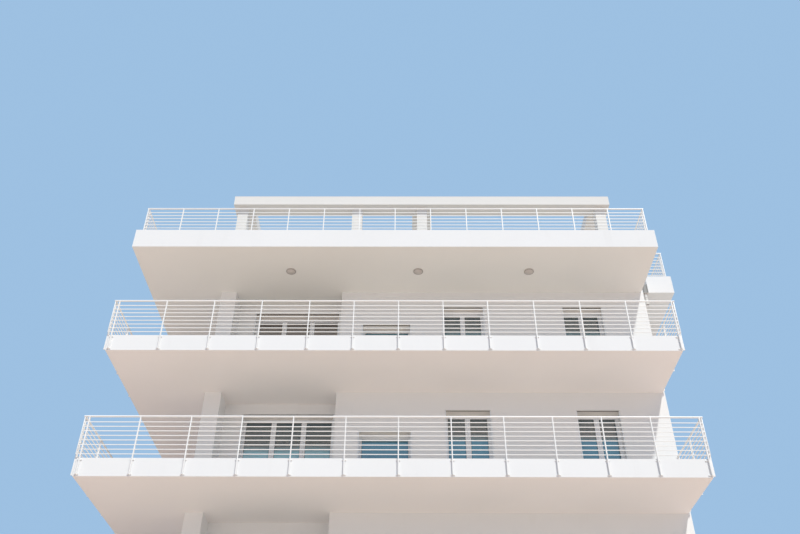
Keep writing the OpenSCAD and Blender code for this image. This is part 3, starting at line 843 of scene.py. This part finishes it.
def bar_weld(size):
    """The bead round a bar on one side of a post, which stands at x = 0."""
    bite, skin = 0.0005, 0.0004
    bm = bmesh.new()
    place = at(POST_W / 2 + size / 2 - bite, 0, 0) @ turn(90, "Y") @ turn(45, "Z")
    bmesh.ops.create_cone(bm, cap_ends=True, segments=4, depth=size + 2 * bite, matrix=place,
                          radius1=(BAR_SIDE / 2 + size) * math.sqrt(2),
                          radius2=(BAR_SIDE / 2 + skin) * math.sqrt(2))
    return as_mesh("bar_weld", bm)


def pane_gasket(opening, width):
    """A ring round the pane, against the glass at y = 0 and standing out to y < 0."""
    depth = 0.007
    bm = bmesh.new()
    upright = turn(90, "X") @ Matrix.Diagonal((opening.pane_w, opening.pane_h, 1.0, 1.0))
    bmesh.ops.create_grid(bm, x_segments=1, y_segments=1, size=0.5, matrix=upright)
    pane = bm.faces[:]
    bmesh.ops.inset_region(bm, faces=pane, thickness=width, use_boundary=True, use_even_offset=True)
    bmesh.ops.delete(bm, geom=pane, context="FACES_ONLY")
    ring = bmesh.ops.extrude_face_region(bm, geom=bm.faces[:])
    moved = [item for item in ring["geom"] if isinstance(item, bmesh.types.BMVert)]
    bmesh.ops.translate(bm, vec=(0, -depth, 0), verts=moved)
    bmesh.ops.recalc_face_normals(bm, faces=bm.faces)
    return as_mesh("gasket", bm)


def cover_strip(opening, width):
    """The strip over the seam of two leaves, whose faces are at y = 0."""
    depth, bite, gap = 0.014, 0.004, 0.002
    height = opening.frame_h - 2 * FRAME_W - 2 * gap
    bm = block((width, depth, height), (0, bite - depth / 2, 0))
    upright = [edge for edge in bm.edges if edge.verts[0].co.y < 0
               and abs(edge.verts[0].co.z - edge.verts[1].co.z) > height / 2]
    round_edges(bm, upright, 0.004, 3)
    return as_mesh("cover_strip", bm)


def drip_rail(opening, height):
    """The drip rail at the foot of a leaf, with a sloping top."""
    depth, bite, gap, lift, slope = 0.022, 0.001, 0.012, 0.004, 0.45
    width = opening.leaf_span - 2 * gap
    bm = block((width, depth, height), (0, bite - depth / 2, height / 2 + lift))
    nose = [vert for vert in bm.verts if vert.co.y < -depth / 2 and vert.co.z > height / 2]
    bmesh.ops.translate(bm, vec=(0, 0, -height * slope), verts=nose)
    round_edges(bm, bm.edges[:], 0.002, 2)
    return as_mesh("drip_rail", bm)


# Operators

class BLOCK_OT_walls(Operator):
    """Paints the walls and the pergola"""

    bl_idname = "block.walls"
    bl_label = "Walls and pergola"

    def execute(self, context):
        colours, wear = context.scene.block_colours, context.scene.block_wear
        dress(("front_wall", "recess_wall", "recess_return", "left_wall", "right_wall",
               "back_wall"), painted_render("wall_paint", colours.paint, wear))
        # The pergola's paint is a darker, warmer copy of the walls': painted shade.
        dress([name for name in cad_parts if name.startswith("pergola")],
              painted_render("pergola_shaded_paint", colours.pergola, wear))
        return {"FINISHED"}


class BLOCK_OT_slabs(Operator):
    """Paints the slabs and lays the floors of balconies and roof"""

    bl_idname = "block.slabs"
    bl_label = "Slabs and floors"

    def execute(self, context):
        colours, wear = context.scene.block_colours, context.scene.block_wear
        tiles = (0.3, 0.004, colours.tile)
        pavers = (0.5, 0.008, colours.paver)
        # Each slab's second colour is painted light on its faces that look down.
        slabs = (("floor_slabs", colours.soffit, tiles),
                 ("roof_slab", colours.roof_soffit, pavers),
                 ("roof_side_strip", colours.strip_soffit, pavers))
        for node, underside_light, floor in slabs:
            dress((node,), painted_render(f"{node}_paint", colours.paint, wear, underside_light, floor))
        dress(("ground_slab",), trowelled_concrete(colours.concrete))
        return {"FINISHED"}


class BLOCK_OT_railings(Operator):
    """Coats the balcony and roof railings"""

    bl_idname = "block.railings"
    bl_label = "Railings"

    def execute(self, context):
        scene = context.scene
        coat = powder_coat("railing_coat", scene.block_colours.railing, scene.block_wear, 0.36)
        dress([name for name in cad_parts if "railing" in name], coat)
        return {"FINISHED"}


class BLOCK_OT_windows(Operator):
    """Finishes frames, panes, shutter parts and sills"""

    bl_idname = "block.windows"
    bl_label = "Windows and shutters"

    def execute(self, context):
        colours = context.scene.block_colours
        pane, foot = colours.pane, colours.pane_foot
        coat = powder_coat("frame_coat", colours.window_frame, context.scene.block_wear, 0.33)
        dress([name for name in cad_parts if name.endswith("_frames")], coat)
        dress(("shutter_guides",), coat)
        # The lower part of the front panes is a painted reflection of the sky, brighter on the
        # recess doors; on the side and back windows it is only darker than the upper part.
        dress(("small_window_glass", "balcony_door_glass"), dark_glass("front_glazing", pane, foot))
        dress(("recess_door_glass",),
              dark_glass("recess_glazing", pane, shade(foot, 2.1), colours.pane_top))
        dress(("side_window_glass", "back_window_glass"),
              dark_glass("side_glazing", pane, shade(pane, 0.7)))
        dress(("shutter_slats",), matt_plastic("slat_coat", colours.slat, 300.0, 0.55))
        dress(("shutter_box_panels",), matt_plastic("box_board", colours.box_panel, 180.0, 0.7))
        dress(("window_sills",), honed_stone(colours.sill))
        return {"FINISHED"}


class BLOCK_OT_roof_fittings(Operator):
    """Finishes the ceiling lamps and the roof drain"""

    bl_idname = "block.roof_fittings"
    bl_label = "Lamps and drain"

    def execute(self, context):
        colours = context.scene.block_colours
        dress(("ceiling_lamps",), lamp_shell(colours.lamp))
        dress(("roof_drain",), drain_metal(colours.drain))
        return {"FINISHED"}


class BLOCK_OT_railing_bolts(Operator):
    """Adds the bolts that hold the railings' brackets and foot plates"""

    bl_idname = "block.railing_bolts"
    bl_label = "Railing bolts"

    def execute(self, context):
        sizes = context.scene.block_fittings
        coat = made_before("railing_coat")
        bolt = hexagon_bolt("bracket_bolt", sizes.bolt_r)
        brackets = Piece("bracket_bolts")
        heights = (BRACKET_EDGE - SLAB_T + BRACKET_H / 2, -BRACKET_EDGE - BRACKET_H / 2)
        for panel, length, places in balcony_panels():
            for post in places:
                middle = min(max(post, BRACKET_END), length - BRACKET_END)
                for x in (middle - sizes.bolt_spread, middle + sizes.bolt_spread):
                    if abs(x - post) <= POST_W:
                        continue
                    for z in heights:
                        brackets.add(bolt, panel @ at(x, -BRACKET_D, z) @ turn(90, "X"))
        brackets.finish(coat, "railing", 35)
        foot_bolt = hexagon_bolt("foot_bolt", sizes.foot_bolt_r)
        feet = Piece("foot_plate_bolts")
        spread = 0.029
        for panel, _, places in roof_panels():
            for post, x, y in product(places, (-spread, spread), (-spread, spread)):
                feet.add(foot_bolt, panel @ at(post + x, y, FOOT_T))
        feet.finish(shared_finish(zinc_plate, context.scene.block_colours), None, 35)
        return {"FINISHED"}


class BLOCK_OT_railing_corners(Operator):
    """Adds the slim uprights that join the bars of two panels at a balcony's corners"""

    bl_idname = "block.railing_corners"
    bl_label = "Railing corners"

    def execute(self, context):
        coat = made_before("railing_coat")
        side = context.scene.block_fittings.corner_w
        rail_bite = 0.008
        low = BAR_HEIGHTS[-1] - side / 2
        high = RAIL_H - RAIL_DIA + rail_bite
        upright = rounded_block("upright", (side, side, high - low), 0.0015, 2)
        left, right = SLAB_LOW.x - RAIL_OUT, BALCONY_RIGHT + RAIL_OUT
        front, back = SLAB_LOW.y - RAIL_OUT, SLAB_HIGH.y + RAIL_OUT
        piece = Piece("railing_corner_uprights")
        for k in range(1, STOREYS):
            for x, y in ((left, front), (right, front), (left, back)):
                piece.add(upright, on_storey(k) @ at(x, y, (low + high) / 2))
        piece.finish(coat, "railing", 35)
        return {"FINISHED"}


class BLOCK_OT_railing_welds(Operator):
    """Adds the welds where the bars meet the posts and where the posts meet the top rail"""

    bl_idname = "block.railing_welds"
    bl_label = "Railing welds"

    def execute(self, context):
        coat = made_before("railing_coat")
        weld = bar_weld(context.scene.block_fittings.weld)
        bead, rail_bite = 0.006, 0.0065
        saddle = rounded_block("saddle", (POST_W + 2 * bead, 0.72 * RAIL_DIA, bead), 0.0022, 1)
        rows = (("balcony_railing_welds", balcony_panels(), -RAIL_OUT),
                ("roof_railing_welds", roof_panels(), 0.0))
        for name, panels, y in rows:
            piece = Piece(name)
            for panel, _, places in panels:
                for x in places:
                    for z, side in product(BAR_HEIGHTS, (0, 180)):
                        piece.add(weld, panel @ at(x, y, z) @ turn(side, "Z"))
                    piece.add(saddle, panel @ at(x, y, RAIL_H - RAIL_DIA + rail_bite))
            piece.finish(coat, "railing", 50)
        return {"FINISHED"}


class BLOCK_OT_window_fittings(Operator):
    """Adds gaskets, cover strips and drip rails to the leaves"""

    bl_idname = "block.window_fittings"
    bl_label = "Window fittings"

    def execute(self, context):
        sizes = context.scene.block_fittings
        coat = made_before("frame_coat")
        face = REVEAL_D + LEAF_STEP
        pane_face = REVEAL_D + (FRAME_D + LEAF_STEP - PANE_T) / 2
        gaskets = Piece("glazing_gaskets")
        strips = Piece("leaf_cover_strips")
        drips = Piece("leaf_drip_rails")
        for wall, opening in each_opening():
            gasket = pane_gasket(opening, sizes.gasket_w)
            strip = cover_strip(opening, sizes.cover_w)
            drip = drip_rail(opening, sizes.drip_h)
            for i in range(opening.leaves):
                left, z = opening.leaf_left(i), opening.pane_z
                x = left + opening.leaf_span / 2
                gaskets.add(gasket, wall @ at(x, pane_face, z))
                gaskets.add(gasket, wall @ at(x, pane_face + PANE_T, z) @ turn(180, "Z"))
                drips.add(drip, wall @ at(x, face, opening.sill + SILL_T + FRAME_W))
                if i:
                    strips.add(strip, wall @ at(left, face, z))
        gaskets.finish(shared_finish(gasket_rubber, context.scene.block_colours))
        strips.finish(coat, "window_frame", 40)
        drips.finish(coat, "window_frame", 40)
        return {"FINISHED"}


class BLOCK_OT_shutter_fittings(Operator):
    """Adds the rubber seals and stops of the last slats and the screws of the box panels"""

    bl_idname = "block.shutter_fittings"
    bl_label = "Shutter fittings"

    def execute(self, context):
        colours = context.scene.block_colours
        seals = Piece("shutter_seals")
        screws = Piece("box_panel_screws")
        stop = turned_mesh("stop", ((0.0, 0.0), (0.011, 0.0), (0.009, 0.012), (0.006, 0.015),
                                    (0.0, 0.015)), 12)
        screw = turned_mesh("screw", ((0.0, -0.0016), (0.003, -0.0012), (0.0045, 0.0),
                                      (0.0045, 0.0006), (0.0, 0.0006)), 10)
        seal_h, seal_gap, seal_drop = 0.010, 0.002, 0.004
        stop_inset, stop_rise, stop_bite = 0.16, 0.02, 0.001
        screw_inset, screw_edge = 0.05, 0.03
        slat_y = SLOT_INSET + SLOT_W / 2
        for wall, opening in each_opening():
            half = opening.width / 2
            seal_size = (2 * (half - GUIDE_W - seal_gap), SLAT_T, seal_h)
            seal = rounded_block("seal", seal_size, 0.004, 3)
            seals.add(seal, wall @ at(opening.middle, slat_y, opening.head - seal_drop))
            for side in (-1, 1):
                x = opening.middle + side * (half - stop_inset)
                y = slat_y - SLAT_T / 2 + stop_bite
                seals.add(stop, wall @ at(x, y, opening.head + stop_rise) @ turn(90, "X"))
                x = opening.middle + side * (half - screw_inset)
                for y in (SLOT_INSET + SLOT_W + screw_edge, REVEAL_D - screw_edge):
                    screws.add(screw, wall @ at(x, y, opening.head))
        seals.finish(shared_finish(gasket_rubber, colours))
        screws.finish(shared_finish(zinc_plate, colours), None, 40)
        return {"FINISHED"}


class BLOCK_OT_lamp_fittings(Operator):
    """Adds the gasket and screws of the ceiling lamps"""

    bl_idname = "block.lamp_fittings"
    bl_label = "Lamp fittings"

    def execute(self, context):
        colours = context.scene.block_colours
        bead_r, bead_gap, bead_sides = 0.003, 0.001, 8
        angles = [math.tau * i / bead_sides for i in range(bead_sides)]
        bead_middle = LAMP_R - LAMP_RIM + bead_gap
        section = [(bead_middle + bead_r * math.cos(a), bead_r * math.sin(a)) for a in angles]
        bead = turned_mesh("lamp_bead", section, 48, ring=True)
        screw = turned_mesh("lamp_screw", ((0.0, -0.003), (0.003, -0.0028), (0.005, -0.001),
                                           (0.005, 0.001), (0.0, 0.001)), 12)
        beads = Piece("lamp_gaskets")
        screws = Piece("lamp_screws")
        screw_count, first_turn = 3, 0.08
        screw_way = LAMP_R - LAMP_RIM / 2 + bead_gap
        middle_y = (LAMPS_LOW.y + LAMPS_HIGH.y) / 2
        for x in LAMP_XS:
            ring = at(x, middle_y, LAMPS_HIGH.z - LAMP_RING_H)
            beads.add(bead, ring)
            for i in range(screw_count):
                angle = math.tau * (i / screw_count + first_turn)
                screws.add(screw, ring @ at(screw_way * math.cos(angle),
                                            screw_way * math.sin(angle), 0.0))
        beads.finish(shared_finish(gasket_rubber, colours), None, 60)
        screws.finish(shared_finish(zinc_plate, colours), None, 40)
        return {"FINISHED"}


class BLOCK_OT_drain_fittings(Operator):
    """Adds the two collars of the drain pipe"""

    bl_idname = "block.drain_fittings"
    bl_label = "Drain fittings"

    def execute(self, context):
        metal = made_before("drain_metal")
        inner, outer, rounding, half = PIPE_R - 0.002, PIPE_R + 0.007, 0.002, 0.012
        flat = half - 2 * rounding
        section = ((inner, -half), (outer - rounding, -half), (outer, -flat),
                   (outer, flat), (outer - rounding, half), (inner, half))
        collar = turned_mesh("collar", section, 40, ring=True)
        piece = Piece("drain_collars")
        for rise in (0.013, 0.22):
            piece.add(collar, at(DRAIN_MIDDLE.x, DRAIN_MIDDLE.y, DRAIN_LOW.z + rise))
        piece.finish(metal, "drain", 40)
        return {"FINISHED"}


class BLOCK_OT_stage(Operator):
    """Sets the floor, the light, the background and the camera"""

    bl_idname = "block.stage"
    bl_label = "Stage"

    def execute(self, context):
        stage = context.scene.block_stage
        context.scene.view_settings.view_transform = "Standard"
        self.floor(stage)
        self.sun(stage)
        context.scene.world = self.world(stage)
        context.scene.camera = self.camera(stage)
        return {"FINISHED"}

    def floor(self, stage):
        """A large plain floor at z = 0."""
        bm = bmesh.new()
        bmesh.ops.create_grid(bm, x_segments=1, y_segments=1, size=stage.floor_side / 2)
        floor = new_object("floor", as_mesh("floor", bm))
        matt = Finish("plain_floor", stage.floor).done(Roughness=1.0, Specular_IOR_Level=0.0)
        floor.data.materials.append(matt)

    def sun(self, stage):
        """The sun, from the front, the right and above."""
        data = bpy.data.lights.new("sun", "SUN")
        data.energy = stage.sun
        data.color = stage.sun_colour
        data.angle = stage.sun_size
        sun = new_object("sun", data)
        sun.rotation_mode = "QUATERNION"
        sun.rotation_quaternion = Vector(stage.sun_way).to_track_quat("-Z", "Y")

    def world(self, stage):
        """Sky light for the block, and a pale background for the camera and the glass."""
        world = bpy.data.worlds.new("pale_sky")
        world.use_nodes = True
        world.node_tree.nodes.clear()
        nodes = Nodes(world.node_tree)
        light = nodes.add("ShaderNodeBackground", {"Color": shade(stage.sky)})
        seen = nodes.add("ShaderNodeBackground", {"Color": shade(stage.background)})
        path = nodes.add("ShaderNodeLightPath").outputs
        either = nodes.math("MAXIMUM", path["Is Camera Ray"], path["Is Glossy Ray"])
        shown = nodes.math("MAXIMUM", either, path["Is Transmission Ray"])
        inputs = {0: shown, 1: light.outputs[0], 2: seen.outputs[0]}
        mixed = nodes.add("ShaderNodeMixShader", inputs).outputs[0]
        nodes.add("ShaderNodeOutputWorld", {"Surface": mixed})
        return world

    def camera(self, stage):
        """The camera at the photograph's place, turned as it was."""
        data = bpy.data.cameras.new("camera")
        data.sensor_width = 36.0
        data.sensor_fit = "HORIZONTAL"
        data.lens = stage.lens
        data.clip_end = 3 * stage.floor_side
        yaw = Matrix.Rotation(-stage.yaw, 4, "Z")
        pitch = Matrix.Rotation(stage.pitch, 4, "X") @ turn(90, "X")
        roll = Matrix.Rotation(stage.roll, 4, "Z")
        camera = new_object("camera", data)
        camera.matrix_world = at(*stage.eye) @ yaw @ pitch @ roll
        return camera


OPERATORS = (
    BLOCK_OT_walls,
    BLOCK_OT_slabs,
    BLOCK_OT_railings,
    BLOCK_OT_windows,
    BLOCK_OT_roof_fittings,
    BLOCK_OT_railing_bolts,
    BLOCK_OT_railing_corners,
    BLOCK_OT_railing_welds,
    BLOCK_OT_window_fittings,
    BLOCK_OT_shutter_fittings,
    BLOCK_OT_lamp_fittings,
    BLOCK_OT_drain_fittings,
    BLOCK_OT_stage,
)

GROUPS = (
    ("block_colours", BlockColours),
    ("block_wear", BlockWear),
    ("block_fittings", BlockFittings),
    ("block_stage", BlockStage),
)


class BLOCK_PT_panel(Panel):
    """Lists the block's pieces in the sidebar"""

    bl_idname = "BLOCK_PT_panel"
    bl_label = "Apartment block"
    bl_space_type = "VIEW_3D"
    bl_region_type = "UI"
    bl_category = "Block"

    def draw(self, context):
        for operator in OPERATORS:
            self.layout.operator(operator.bl_idname)
        for label, group in GROUPS:
            box = self.layout.box()
            for key in group.__annotations__:
                box.prop(getattr(context.scene, label), key)


def register():
    for label, group in GROUPS:
        bpy.utils.register_class(group)
        setattr(bpy.types.Scene, label, PointerProperty(type=group))
    for operator in OPERATORS:
        bpy.utils.register_class(operator)
    bpy.utils.register_class(BLOCK_PT_panel)


def unregister():
    bpy.utils.unregister_class(BLOCK_PT_panel)
    for operator in reversed(OPERATORS):
        bpy.utils.unregister_class(operator)
    for label, group in reversed(GROUPS):
        delattr(bpy.types.Scene, label)
        bpy.utils.unregister_class(group)


def main():
    """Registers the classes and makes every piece."""
    register()
    bpy.ops.block.walls()
    bpy.ops.block.slabs()
    bpy.ops.block.railings()
    bpy.ops.block.windows()
    bpy.ops.block.roof_fittings()
    bpy.ops.block.railing_bolts()
    bpy.ops.block.railing_corners()
    bpy.ops.block.railing_welds()
    bpy.ops.block.window_fittings()
    bpy.ops.block.shutter_fittings()
    bpy.ops.block.lamp_fittings()
    bpy.ops.block.drain_fittings()
    bpy.ops.block.stage()


if __name__ == "__main__":
    main()
